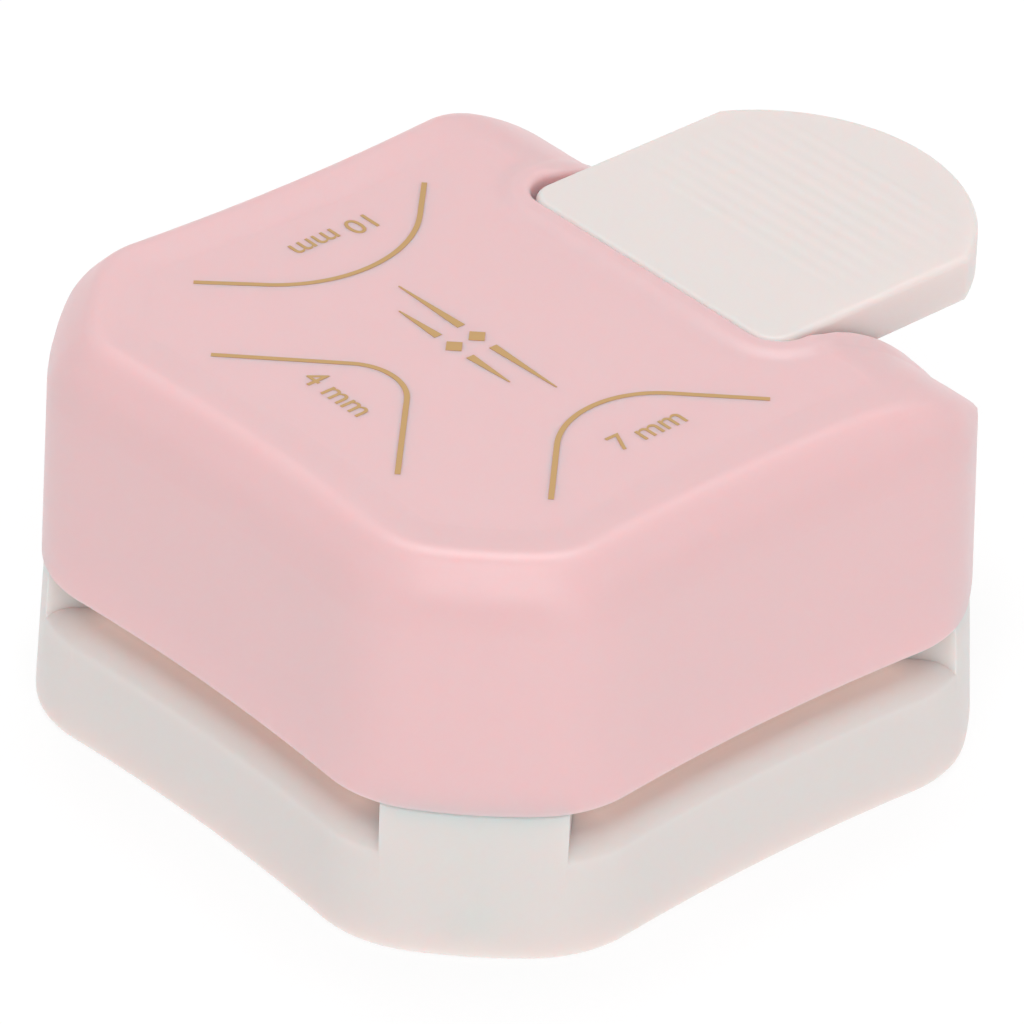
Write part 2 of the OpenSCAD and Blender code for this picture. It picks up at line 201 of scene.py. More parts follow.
def welded(piece, distance=0.002):
    """Merges points closer than distance millimetres and drops the faces that this empties."""
    work = bmesh.new()
    work.from_mesh(piece.data)
    bmesh.ops.remove_doubles(work, verts=work.verts, dist=distance * MM)
    bmesh.ops.dissolve_degenerate(work, edges=work.edges, dist=1e-7)
    bmesh.ops.recalc_face_normals(work, faces=work.faces)
    work.to_mesh(piece.data)
    work.free()


def shaded(piece, sharp=35):
    """Smooth shading, with edges sharper than the angle kept crisp."""
    mesh = piece.data
    mesh.shade_smooth()
    mesh.set_sharp_from_angle(angle=math.radians(sharp))


def with_z(points, z):
    """Rows of x, y given a height, one for all or one each."""
    return np.column_stack([points, np.broadcast_to(z, len(points))])


def smooth_step(value):
    """0 below 0, 1 above 1 and a smooth S between: v squared x (3 - 2v)."""
    v = np.clip(value, 0, 1)
    return v * v * (3 - 2 * v)


# %% [markdown]
# ## The top cover
# The cover is one injection moulding. Its wall leans in a little as it rises, turns over a lower soft
# edge into a sloping band, then over an upper soft edge onto a low crest, and drops a hair into the flat
# panel that carries the size marks. Towards the lever the whole top falls away in a long round. A Bevel
# modifier can't follow a form that changes like this. So the top is a height above the plan: the profile
# below tells the height from the distance to the wall, a quarter of an ellipse tells it from the distance
# to the back, and the lower of the two wins, with a soft minimum where they meet.

# %% Shoulder profile
crest_z = cover_top + 0.1
panel_z = cover_top - 0.2
draft = 0.03
panel_inset = 6.4
foot_z = 24.3
back_y, back_reach, back_foot, back_rise = 7.4, 18.35, 15.8, 14.4
tongue_y = 14.2
rim_rise = 0.27


def rounded_path(corners, radii, steps=8):
    """A polyline whose inner corners are replaced by quadratic curves that start a radius away."""
    corners = np.asarray(corners, float)
    out = [corners[:1]]
    for before, here, after, radius in zip(corners[:-2], corners[1:-1], corners[2:], radii):
        a = here + (before - here) / np.linalg.norm(before - here) * radius
        b = here + (after - here) / np.linalg.norm(after - here) * radius
        t = np.linspace(0, 1, steps)[:, None]
        out.append((1 - t) ** 2 * a + 2 * t * (1 - t) * here + t ** 2 * b)
    out.append(corners[-1:])
    return np.vstack(out)


def soft_min(a, b, width):
    """The lower of a and b, rounded where they are closer than width: min - h^2 width / 4."""
    h = np.clip(width - np.abs(a - b), 0, None) / width
    return np.minimum(a, b) - h * h * width / 4


def back_height(y, reach):
    """Height of the long round at the back: foot + rise sqrt(1 - u^2), u = (y - start) / reach."""
    u = np.clip((y - back_y) / reach, 0, 1)
    return back_foot + back_rise * np.sqrt(1 - u * u)


shoulder = rounded_path([(0, foot_z), (0.5, foot_z + 2.45), (2.9, crest_z + 0.08), (panel_inset, panel_z)],
                        [1.4, 0.9])
shoulder = np.vstack([shoulder[:1], shoulder[:1] + [0.05, 0.38], shoulder[1:-1],
                      shoulder[-2] + np.outer([0.25, 0.5, 0.75, 1], shoulder[-1] - shoulder[-2])])
print("shoulder profile:", len(shoulder), "points, crest", round(shoulder[:, 1].max(), 2))

# %% [markdown]
# The lever stands in a notch that is open at the back. The columns of the cover's skin therefore run
# from one side of the notch round the front to the other side, and the panel's edge is pulled forward
# there to where the long round starts.

# %% Columns of the skin
notch_y = plate_front - 0.2
notch_r = 2.4
window_z = 15.0
rim_r = 0.5
rim_out = 0.7
side_x = notch_hw + rim_out
shift_x = 16.0       # the panel's edge is moved sideways to the rim as far out as this
back_from = 20.0     # the back wall lies beyond this y


def cut_columns(points, normals, x_end):
    """The outline from x = -x_end at the back, round the front, to x = +x_end at the back."""
    first = int(np.argmin(np.abs(points[:, 0]) - points[:, 1]))
    points, normals = np.roll(points, -first, axis=0), np.roll(normals, -first, axis=0)
    keep = ~((np.abs(points[:, 0]) < x_end + 0.05) & (points[:, 1] > 0))
    inside = np.flatnonzero(keep)
    ends = []
    for a, b in ((inside[0] - 1, inside[0]), (inside[-1], inside[-1] + 1)):
        w = (x_end - abs(points[a, 0])) / (abs(points[b, 0]) - abs(points[a, 0]))
        ends.append((points[a] + w * (points[b] - points[a]), normals[a] + w * (normals[b] - normals[a])))
    points = np.vstack([ends[0][0], points[keep], ends[1][0]])
    normals = np.vstack([ends[0][1], normals[keep], ends[1][1]])
    return points, normals / np.linalg.norm(normals, axis=1)[:, None]


col, col_n = cut_columns(plan, plan_n, side_x)
reach = np.maximum(col[:, 1] - 0.2 - back_y, back_reach)
foot = soft_min(foot_z, back_height(col[:, 1] - 0.2 * col_n[:, 1], reach), 2.0)
outer = col - col_n * (draft * (foot - seam_z))[:, None]
inner = col - col_n * (panel_inset + draft * (foot_z - seam_z))
back = col[:, 1] > back_from
end_x = abs(inner[0, 0])
near = back & (np.abs(inner[:, 0]) < shift_x)
stretch = (shift_x - side_x) / (shift_x - end_x)
inner[near, 0] = np.sign(inner[near, 0]) * (side_x + (np.abs(inner[near, 0]) - end_x) * stretch)
inner[:, 1] = tongue_y - 0.8 * np.logaddexp(0, (tongue_y - inner[:, 1]) / 0.8)
print("columns:", len(col), "ends at x", round(col[0, 0], 3), round(col[-1, 0], 3))

# %% [markdown]
# Rows go up the wall, over the shoulder and onto a narrow flat ring, so that the big flat panel inside it
# has upright normals all round and shades evenly.

# %% Rows of the skin
def rim_lift(distance):
    """Height of the low ring round the notch over the panel, by the distance from the rim's start."""
    return rim_rise * (1 - smooth_step((distance - 0.4) / 1.5))


rows = []
for z, back_in in ((seam_z, 0.3), (seam_z + 0.09, 0.09), (seam_z + 0.3, 0.0), (window_z - rim_out, 0.0)):
    rows.append(with_z(col - col_n * (back_in + draft * (z - seam_z)), z))
for part in (0.25, 0.5, 0.75):
    z = (window_z - rim_out) + (foot - window_z + rim_out) * part
    rows.append(with_z(col - col_n * (draft * (z - seam_z))[:, None], z))
window_row = 3
lift = rim_lift(np.where(back, np.abs(inner[:, 0]) - side_x, 9))
for inset, z in shoulder:
    part = inset / panel_inset
    spot = outer + (inner - outer) * part
    height = soft_min(z + lift * part, back_height(spot[:, 1], reach), 1.2)
    if inset == 0:
        height = foot
    elif inset < 2:
        height = np.maximum(height, rows[-1][:, 2] + 0.04)
    rows.append(with_z(spot, height))
rows[-1][:, 2] = panel_z + lift
rows.append(with_z(outer + (inner - outer) * 1.02, panel_z + lift))
skin = np.stack(rows)
print("skin:", skin.shape[0], "rows of", skin.shape[1])

# %% [markdown]
# The rim of the opening is one closed path: up the wall beside the lever, over the long round, round the
# front of the notch and back down the other side, then along the sill under the lever. A fillet and a
# short wall follow it. At each point the fillet turns from the surface's normal n towards e, which points
# into the opening: point + e (r sin a) - n (r (1 - cos a)).

# %% Rim of the notch
right_up = skin[window_row:, -1]
left_down = skin[window_row:, 0][::-1]
corner_r = notch_r + rim_out
corner_y = notch_y + notch_r
bend = np.radians(np.linspace(0, -90, 10))
bend_way = np.column_stack([np.cos(bend), np.sin(bend)])


def turn_round(out):
    """The front of the notch, grown by out: quarter turn, straight, quarter turn, right to left."""
    right = [side_x - corner_r, corner_y] + (corner_r + out) * bend_way
    return with_z(np.vstack([right, right[::-1] * [-1, 1]]), panel_z + rim_lift(out))


turn_path = turn_round(0)
sill_x = np.linspace(-side_x, side_x, 24)[1:-1]
on_back = plan[:, 1] > back_from
order = np.argsort(plan[on_back, 0])
sill_y = np.interp(sill_x, plan[on_back, 0][order], plan[on_back, 1][order])
sill_z = window_z - rim_out
sill = np.column_stack([sill_x, sill_y - draft * (sill_z - seam_z), np.full(len(sill_x), sill_z)])
path = np.vstack([right_up, turn_path, left_down, sill])
kind = np.repeat([0, 1, 2, 3], [len(right_up), len(turn_path), len(left_down), len(sill)])

step = np.roll(path, -1, axis=0) - path
step /= np.linalg.norm(step, axis=1)[:, None]
side_n = np.column_stack([np.zeros(len(path)), step[:, 2], -step[:, 1]])
side_n[kind == 2] *= -1
seg_n = np.where((kind == 1)[:, None], [0, 0, 1], np.where((kind == 3)[:, None], [0, 1, 0], side_n))
last_right = len(right_up) - 1
seg_n[last_right] = [0, 0, 1]
seg_n[len(right_up) + len(turn_path) - 1] = [0, 0, 1]
seg_n[len(path) - len(sill) - 1] = [0, 1, 0]
seg_e = np.cross(step, seg_n)
prev_e, prev_n = np.roll(seg_e, 1, axis=0), np.roll(seg_n, 1, axis=0)
rim_e = (seg_e + prev_e) / (1 + np.sum(seg_e * prev_e, axis=1))[:, None]
rim_n = seg_n + prev_n
rim_n /= np.linalg.norm(rim_n, axis=1)[:, None]

rim = [path, path + rim_e * (rim_out - rim_r)]
for a in np.radians(np.linspace(15, 90, 6)):
    rim.append(path + rim_e * (rim_out - rim_r + rim_r * math.sin(a)) - rim_n * rim_r * (1 - math.cos(a)))
for depth in (1.0, 2.4):
    rim.append(path + rim_e * rim_out - rim_n * (rim_r + depth))
print("rim:", len(path), "points round")

# %% [markdown]
# Skin, rim and sill are joined into one sheet. The panel inside the skin's last ring is closed by a ring
# that follows the rim of the notch and by one flat face. The sheet is then given the moulding's wall
# thickness by a Solidify modifier that grows inwards.

# %% Cover mesh
cover_wall = 1.5
cover = Surface()
cover.grid(skin)
cover.grid(np.stack(rim), closed=True, flip=True)
low_x = np.concatenate([[-side_x], sill_x, [side_x]])
low_y = np.interp(low_x, plan[on_back, 0][order], plan[on_back, 1][order])
patch = []
for k in range(window_row + 1):
    left, right = skin[k, 0], skin[k, -1]
    drop = low_y - (low_y[0] - left[1])
    line = np.column_stack([low_x, drop, np.full(len(low_x), left[2])])
    line[0], line[-1] = left, right
    patch.append(line)
patch[window_row][1:-1] = sill
cover.grid(np.stack(patch), flip=True)
ring_count = int(np.searchsorted(skin[-1][::-1, 0][:90], side_x + 2.1))
ring = []
for j in range(ring_count + 1):
    ring.append(np.vstack([skin[-1][-1 - j], turn_round(skin[-1][-1 - j, 0] - side_x), skin[-1][j]]))
cover.grid(np.stack(ring))
cover.flat(np.vstack([skin[-1][ring_count:len(col) - ring_count], ring[-1][1:-1]]))
shell = cover.build("cover_shell", sharp=40)
thick = shell.modifiers.new("thickness", "SOLIDIFY")
thick.thickness = cover_wall * MM
thick.offset = -1
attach(shell, "housing")
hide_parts("top_cover")
print("cover faces:", len(shell.data.polygons))

# %% [markdown]
# ## The base
# The base leans out a little towards the table and its lower edge is rounded. It starts as a plain solid
# with the plan of the body. Everything that is hollow in it is then cut out in one Boolean: the three
# paper slots, the chip chamber and its lid's opening, the pocket of the die plate, the punches' ways
# and the holes. Straight cuts like these come out crisp, as they do from a steel mould.

# %% Blank and cutters
flare = 0.45
base_draft = 0.059
foot_r = 0.35


def prism(surface, points, low, high):
    """A closed upright prism over an anticlockwise plan polygon."""
    surface.grid(np.stack([with_z(points, low), with_z(points, high)]), closed=True)
    surface.flat(with_z(points, low), flip=True)
    surface.flat(with_z(points, high))


def box_plan(x0, x1, y0, y1):
    """The four corners of a rectangle."""
    return np.array([[x0, y0], [x1, y0], [x1, y1], [x0, y1]], float)


def round_plan(x, y, radius, count=32):
    """Points on a circle: centre + radius x (cos a, sin a)."""
    a = np.linspace(0, 2 * math.pi, count, endpoint=False)
    return np.column_stack([x + radius * np.cos(a), y + radius * np.sin(a)])


def slot_cutter(surface, angle):
    """A wedge that opens outwards from the stop. Its floor rolls down at the wall: each section runs
    along v = f (u - stop), and ends in the arc d = lip sin a, z = floor - lip (1 - cos a)."""
    lip = 1.8
    near_wall = (plan[:, 0] > 20) & (np.abs(plan[:, 1]) < 19)
    u, v = plan[near_wall].T
    turn = v / (u - stop_u)
    by = np.argsort(turn)
    f = np.linspace(-1, 1, 61)
    wall_u = np.interp(f, turn[by], u[by])
    a = np.radians(np.linspace(0, 90, 10))
    shape = [(None, floor_z)] + list(zip(lip - 0.15 - lip * np.sin(a), floor_z - lip * (1 - np.cos(a))))
    shape += [(-1.5, floor_z - lip), (-1.5, seam_z + 1), (None, seam_z + 1)]
    sections = []
    for d, z in shape:
        at = np.full(len(f), stop_u) if d is None else wall_u - d
        sections.append(with_z(turned(np.column_stack([at, f * (at - stop_u)]), angle), z))
    grid = np.stack(sections, axis=1)
    surface.grid(grid, closed=True)
    surface.flat(grid[0], flip=True)
    surface.flat(grid[-1])


def cut(piece, cutters):
    """Takes a cutter mesh out of a piece and leaves the result as the piece's own mesh."""
    tool = cutters.build("cutters")
    step_out = piece.modifiers.new("cut", "BOOLEAN")
    step_out.operation = "DIFFERENCE"
    step_out.solver = "EXACT"
    step_out.use_self = True
    step_out.object = tool
    done = bpy.data.meshes.new_from_object(piece.evaluated_get(bpy.context.evaluated_depsgraph_get()))
    piece.modifiers.clear()
    piece.data = done
    bpy.data.objects.remove(tool)
    return piece


blank = Surface()
walls = []
for a in np.radians(np.linspace(0, 90, 7)):
    z = foot_r * (1 - math.cos(a))
    walls.append((z, foot_r * (1 - math.sin(a))))
walls += [(4.0, 0.0), (seam_z - 0.15, 0.0), (seam_z, 0.12)]
body_wall = np.stack([with_z(plan + plan_n * (flare - base_draft * z - back_in), z) for z, back_in in walls])
blank.grid(body_wall, closed=True)
blank.flat(body_wall[0], flip=True)
blank.flat(body_wall[-1])
base = blank.build("base_shell")
print("blank faces:", len(base.data.polygons))

# %% [markdown]
# The hollows follow the design: the lid's groove and opening below, the chamber above it, the pocket of
# the die plate, one way for each punch, and the holes of the posts, screws and springs. A shallow relief
# in the back wall lets the lid's snap rib pass.

# %% Hollows of the base
lid_low, lid_high = node_box("chip_lid")
lid_gap = 0.12
fit_gap = 0.05
groove_x = lid_high[0] + lid_gap
groove_low, groove_top = 0.4, 2.02
mouth_x, chamber_x, rib_x, tongue_x = 15.8, 16.8, 6.3, 10.05
chamber_back, chamber_top = 18.8, 6.6
pocket_x, pocket_y, pocket_low = plate_high[0] + fit_gap, 13.55, 5.9
tongue_end = plate_low[1] - fit_gap
bench_top = groove_top - 0.12
hollows = Surface()
for angle in (-90, 0, 180):
    slot_cutter(hollows, angle)
prism(hollows, box_plan(-groove_x, groove_x, lid_low[1] - lid_gap, 40), groove_low, groove_top)
prism(hollows, box_plan(-mouth_x, mouth_x, lid_low[1] + 1.2, chamber_back - 0.4), -1, 3)
prism(hollows, box_plan(-chamber_x, chamber_x, lid_low[1] + 0.4, chamber_back), bench_top, chamber_top)
prism(hollows, box_plan(-groove_x, groove_x, 20, 41), -1.1, bench_top)
prism(hollows, box_plan(-rib_x, rib_x, chamber_back - 0.2, 42), 1.7, 2.45)
prism(hollows, box_plan(-pocket_x, pocket_x, -pocket_y, pocket_y), pocket_low, floor_z + 0.002)
prism(hollows, box_plan(-tongue_x, tongue_x, tongue_end, -9), pocket_low - 0.1, floor_z + 0.003)
for turn_by, radius in ((-90, 4), (0, 7), (180, 10)):
    half = radius / math.sqrt(2) + 1.1
    way = box_plan(6.35, stop_u + half + 0.05, -half, half)
    prism(hollows, turned(way, turn_by), floor_z - 0.7, seam_z + 1.1)
holes = [(10.5, 11.5, 2.75, floor_z + 0.6, seam_z + 1.2),      # springs
         (10.5, 11.5, 1.5, floor_z - 0.9, floor_z + 0.9),       # posts
         (17.1, 17.1, 0.8, 6.7, seam_z + 1.3),                  # frame screws
         (14.8, 11.0, 0.7, floor_z - 0.8, seam_z - 0.1),        # die screws
         (20.3, 20.3, 2.0, -1.2, 2.99),                         # heads of the case screws
         (20.3, 20.3, 1.1, 2.5, seam_z + 1.4)]                  # case screws
for sx in (-1, 1):
    for sy in (-1, 1):
        for x, y, radius, low, high in holes:
            prism(hollows, round_plan(x * sx, y * sy, radius), low, high)
cut(base, hollows)
welded(base, 0.0005)
shaded(base, 30)
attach(base, "housing")
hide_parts("base_housing")
print("base faces:", len(base.data.polygons))

# %% [markdown]
# ## The thumb lever
# The lever's plate is a stack of copies of one outline, each shrunk by its own amount and set at its own
# height: over the soft upper edge, down the side, under the rim and up into the hollow beneath it. The
# outline has straight sides, small front corners and a round tip. The top is a grid of its own, whose
# height is a cosine along the plate: ridges so low that a thumb feels them more than an eye sees them.

# %% Thumb plate
front_r = 2.0
tip_r = 14.2
thumb_t = 3.5
edge_r = 0.45
ridge_front, ridge_back, ridge_pitch, ridge_rise = 19.6, 32.8, 1.3, 0.035


def thumb_outline(inset):
    """The plate's outline shrunk by inset: half of it from the front's middle to the tip, mirrored."""
    hw, r, tip = lever_hw - inset, max(front_r - inset, 0.05), tip_r - inset
    front = plate_front + inset
    centre = lever_tip - tip_r
    a = np.radians(np.linspace(-90, 0, 9))
    bottom = np.column_stack([np.linspace(0, hw - r, 8)[:-1], np.full(7, front)])
    turn = np.column_stack([hw - r + r * np.cos(a), front + r + r * np.sin(a)])
    start = math.acos(hw / tip)
    meet = centre + tip * math.sin(start)
    side = np.column_stack([np.full(90, hw), np.linspace(front + r, meet, 92)[1:-1]])
    b = np.linspace(start, math.pi / 2, 60)
    cap = np.column_stack([tip * np.cos(b), centre + tip * np.sin(b)])
    half = np.vstack([bottom, turn, side, cap])
    return np.vstack([half, half[-2:0:-1] * [-1, 1]])


thumb = Surface()
loops = [with_z(thumb_outline(edge_r + 0.2), lever_top)]
for a in np.radians(np.linspace(0, 90, 8)):
    loops.append(with_z(thumb_outline(edge_r * (1 - math.sin(a))), lever_top - edge_r * (1 - math.cos(a))))
under = lever_top - thumb_t
for a in np.radians(np.linspace(0, 90, 5)):
    loops.append(with_z(thumb_outline(0.4 * (1 - math.cos(a))), under + 0.4 * (1 - math.sin(a))))
pit = thumb_outline(1.6)
pit[:, 1] = np.maximum(pit[:, 1], plate_front + 5)
for z in (under, under + 0.2, under + 1.9):
    loops.append(with_z(pit, z))
thumb.grid(np.stack(loops), closed=True, flip=True)
thumb.flat(loops[-1], flip=True)
right_half = loops[0][7:len(loops[0]) // 2 + 1]
across_part = np.linspace(-1, 1, 15)
top_x = right_half[:, :1] * across_part
top_y = np.repeat(right_half[:, 1:2], 15, axis=1)
wave = 0.5 + 0.5 * np.cos(2 * math.pi * (top_y - ridge_front - 0.8) / ridge_pitch)
fade = smooth_step((top_y - ridge_front) / 0.6) * smooth_step((ridge_back - top_y) / 0.6)
fade = fade * smooth_step((0.86 - np.abs(across_part)) / 0.12)
thumb.grid(np.stack([top_x, top_y, lever_top + ridge_rise * wave * fade], axis=-1))
plate = thumb.build("thumb_plate", sharp=40)
print("thumb plate:", len(plate.data.polygons), "faces")

# %% [markdown]
# Under the plate run two long ribs and three cross ribs. The beam carries the plate forward to the pin:
# a side view in y and z, carried across the object, with a round nose that rolls on the wear pad and a
# barrel round the pin.

# %% Ribs and beam
pivot_y = (node_box("lever_pin")[0][1] + node_box("lever_pin")[1][1]) / 2
pivot_z = (node_box("lever_pin")[0][2] + node_box("lever_pin")[1][2]) / 2
nose_z = node_box("wear_pad")[1][2] + 2.1
beam_top = cover_top - 3.5
beam_back = plate_front + 6
beam_half, nose_half, barrel_half, rib_t = 7.2, 5.8, 12.8, 1.0
beam_side = np.array([[pivot_y, pivot_z - 1.5], [-15, nose_z - 1.4], [0, nose_z - 1.4], [2, nose_z - 1.2],
                      [beam_back, nose_z + 2.6], [beam_back, beam_top + 0.5],
                      [plate_front + 0.2, beam_top + 0.5], [plate_front - 0.2, beam_top],
                      [-8, beam_top], [pivot_y, pivot_z + 2]])


def across(surface, side, half):
    """A prism lying across the object: a y, z polygon carried from x = -half to x = +half."""
    ends = [np.column_stack([np.full(len(side), x), side]) for x in (-half, half)]
    surface.grid(np.stack(ends), closed=True)
    surface.flat(ends[0], flip=True)
    surface.flat(ends[1])


beam = Surface()
across(beam, beam_side, beam_half)
beam_piece = beam.build("lever_beam", sharp=30)
nose = Surface()
nose_ring = round_plan(0, nose_z, 2.0)
across(nose, nose_ring, nose_half)
nose_piece = nose.build("lever_nose", sharp=30)
barrel = Surface()
hub, bore = round_plan(pivot_y, pivot_z, 3.0), round_plan(pivot_y, pivot_z, 1.55)
tube = [np.column_stack([np.full(32, x), ring]) for x, ring in
        ((-barrel_half, bore), (-barrel_half, hub), (barrel_half, hub), (barrel_half, bore),
         (-barrel_half, bore))]
barrel.grid(np.stack(tube), closed=True)
barrel_piece = barrel.build("lever_barrel", sharp=30)
bore_tool = Surface()
across(bore_tool, bore, 20)
cut(beam_piece, bore_tool)
shaded(beam_piece, 30)
ribs = Surface()
for x in (-4.0, 4.0):
    prism(ribs, box_plan(x - rib_t / 2, x + rib_t / 2, beam_back - 0.5, 34.4), under + 0.3, under + 2.0)
for y, half in ((20.5, 10.9), (26.5, 10.9), (32.0, 8.6)):
    prism(ribs, box_plan(-half, half, y, y + rib_t), under + 0.25, under + 2.05)
ribs_piece = ribs.build("thumb_ribs", sharp=30)
lever_pieces = [plate, beam_piece, nose_piece, barrel_piece, ribs_piece]
for piece in lever_pieces:
    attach(piece, "thumb_lever")
    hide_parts("lever")
print("lever pieces:", len(lever_pieces))

# %% [markdown]
# ## Size marks
# Each station has a foil line on the panel above it: two straight legs that run tangent into an arc of
# the radius cut there. The tangent point from a leg's outer end E to a circle about C lies at the angle
# acos(r / |CE|) from the line CE. The lines and the figures are thin closed strips set into the panel.

# %% Foil lines
foil_t = 0.03


def tangent_at(end, centre, radius, apex):
    """The point where a straight line from end touches the circle, on the apex's side."""
    ce = end - centre
    spread = math.degrees(math.acos(min(1, radius / np.linalg.norm(ce))))
    spots = [centre + turned(ce[None] / np.linalg.norm(ce) * radius, s)[0] for s in (spread, -spread)]
    return min(spots, key=lambda p: np.linalg.norm(p - apex))


def mark_path(apex, opening, radius, ends):
    """Leg, arc and leg as one polyline. The apex is where two legs at 45 degrees would meet."""
    apex, opening = np.array(apex, float), np.array(opening, float)
    centre = apex + opening * radius * math.sqrt(2)
    first, last = (tangent_at(np.array(e, float), centre, radius, apex) for e in ends)
    middle = math.atan2(-opening[1], -opening[0])
    turns = [math.remainder(math.atan2(*(p - centre)[::-1]) - middle, 2 * math.pi) for p in (first, last)]
    a = middle + np.linspace(turns[0], turns[1], 40)
    bow = centre + radius * np.column_stack([np.cos(a), np.sin(a)])
    return np.vstack([ends[0], bow, ends[1]])


def ribbon(surface, points, width):
    """A flat strip of even width along a polyline, as a closed thin solid."""
    way = np.gradient(points, axis=0)
    way /= np.linalg.norm(way, axis=1)[:, None]
    left = np.column_stack([-way[:, 1], way[:, 0]]) * width / 2
    plan_loop = np.vstack([points - left, (points + left)[::-1]])
    half = len(points)
    low, high = panel_z - foil_t, panel_z + foil_t
    lows, highs = with_z(plan_loop, low), with_z(plan_loop, high)
    surface.grid(np.stack([lows, highs]), closed=True)
    surface.grid(np.stack([highs[:half], highs[half:][::-1]]), flip=True)
    surface.grid(np.stack([lows[:half], lows[half:][::-1]]))


foil = Surface()
marks = [((-0.3, -8.75), (0, -1), 4, [(-9.7, -18.1), (8.9, -17.8)]),
         ((7.75, -2.5), (1, 0), 7, [(17.3, -12.0), (17.3, 7.1)]),
         ((-7.4, -3.0), (-1, 0), 10, [(-17.55, 7.1), (-17.4, -13.3)])]
for mark in marks:
    ribbon(foil, mark_path(*mark), 0.38)
lines = foil.build("foil_lines", sharp=30)


def ornament(surface, y, half, gap):
    """A small diamond between two tapering bars, as a plain printed decoration."""
    high, low = panel_z + foil_t, panel_z - foil_t
    prism(surface, np.array([[0, y - 0.75], [0.75, y], [0, y + 0.75], [-0.75, y]]), low, high)
    for s in (-1, 1):
        bar = np.array([[gap, y - 0.32], [half, y - 0.05], [half, y + 0.05], [gap, y + 0.32]]) * [s, 1]
        prism(surface, bar if s > 0 else bar[::-1], low, high)


crest = Surface()
ornament(crest, -2.9, 8.0, 1.6)
ornament(crest, -4.9, 5.6, 1.6)
emblem = crest.build("foil_ornament", sharp=30)
emblem.data.transform(Matrix.Translation((-0.5 * MM, 0, 0)))

# %% [markdown]
# Each line carries its size in plain figures. They are made as text, turned into a mesh, and laid on the
# panel so that they read from their own side.

# %% Foil figures
def figures(name, words, centre, turn_by, height=2.6):
    """A size in plain figures, as a thin mesh lying on the panel."""
    letters = bpy.data.curves.new(name, "FONT")
    letters.body = words
    letters.size = height * MM
    letters.extrude = foil_t * MM
    letters.align_x = "CENTER"
    letters.align_y = "CENTER"
    maker = bpy.data.objects.new(name + "_maker", letters)
    scene.collection.objects.link(maker)
    mesh = bpy.data.meshes.new_from_object(maker.evaluated_get(bpy.context.evaluated_depsgraph_get()))
    bpy.data.objects.remove(maker)
    place = Matrix.Translation((centre[0] * MM, centre[1] * MM, panel_z * MM))
    mesh.transform(place @ Matrix.Rotation(math.radians(turn_by), 4, "Z"))
    piece = bpy.data.objects.new(name, mesh)
    scene.collection.objects.link(piece)
    welded(piece, 0.0005)
    return piece


sizes = [figures("figures_4", "4 mm", (-0.8, -14.7), 0),
         figures("figures_7", "7 mm", (15.1, -1.7), 90),
         figures("figures_10", "10 mm", (-16.2, -2.0), -90)]
foil_pieces = [lines, emblem] + sizes
for piece in foil_pieces:
    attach(piece, "housing")
    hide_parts("top_cover")
print("foil pieces:", [p.name for p in foil_pieces])

# %% [markdown]
# ## Finishes
# All finishes are procedural and lie on object coordinates, so a part keeps its grain when it moves.
# Each has a fine bump, a roughness that wanders a little and a faint change of shade. The mouldings
# let some light into them, which takes the hardness off their shadows.

# %% Materials
def srgb(r, g, b):
    """Screen colour, 0 to 255, as the linear colour that the shader takes."""
    c = np.array([r, g, b]) / 255
    return tuple(np.where(c < 0.04045, c / 12.92, ((c + 0.055) / 1.055) ** 2.4)) + (1.0,)


def finish_of(name, colour, rough, metal=0.0, grain=1500.0, bump=0.02, vary=0.02, depth=0.0, stretch=None):
    """A Principled finish with noise on object coordinates driving bump, roughness and shade."""
    material = bpy.data.materials.new(name)
    material.use_nodes = True
    nodes, links = material.node_tree.nodes, material.node_tree.links
    shader = nodes["Principled BSDF"]
    shader.inputs["Metallic"].default_value = metal
    shader.inputs["IOR"].default_value = 1.46
    place = nodes.new("ShaderNodeTexCoord")
    scaled = nodes.new("ShaderNodeMapping")
    scaled.inputs["Scale"].default_value = stretch or (1, 1, 1)
    links.new(place.outputs["Object"], scaled.inputs["Vector"])
    fine = nodes.new("ShaderNodeTexNoise")
    fine.inputs["Scale"].default_value = grain
    fine.inputs["Detail"].default_value = 4
    links.new(scaled.outputs["Vector"], fine.inputs["Vector"])
    broad = nodes.new("ShaderNodeTexNoise")
    broad.inputs["Scale"].default_value = 60
    broad.inputs["Detail"].default_value = 3
    links.new(place.outputs["Object"], broad.inputs["Vector"])
    shade = nodes.new("ShaderNodeMix")
    shade.data_type = "RGBA"
    shade.inputs[6].default_value = tuple(c * (1 - vary) for c in colour[:3]) + (1.0,)
    shade.inputs[7].default_value = tuple(min(1, c * (1 + vary)) for c in colour[:3]) + (1.0,)
    links.new(broad.outputs["Fac"], shade.inputs[0])
    links.new(shade.outputs[2], shader.inputs["Base Color"])
    gloss = nodes.new("ShaderNodeMapRange")
    gloss.inputs["To Min"].default_value = rough * 0.85
    gloss.inputs["To Max"].default_value = rough * 1.15
    links.new(fine.outputs["Fac"], gloss.inputs["Value"])
    links.new(gloss.outputs["Result"], shader.inputs["Roughness"])
    relief = nodes.new("ShaderNodeBump")
    relief.inputs["Strength"].default_value = bump
    relief.inputs["Distance"].default_value = 0.0001
    links.new(fine.outputs["Fac"], relief.inputs["Height"])
    links.new(relief.outputs["Normal"], shader.inputs["Normal"])
    if depth:
        shader.inputs["Subsurface Weight"].default_value = 1.0
        shader.inputs["Subsurface Scale"].default_value = depth * MM
        shader.inputs["Subsurface Radius"].default_value = (1.0, 0.45, 0.4)
    return material


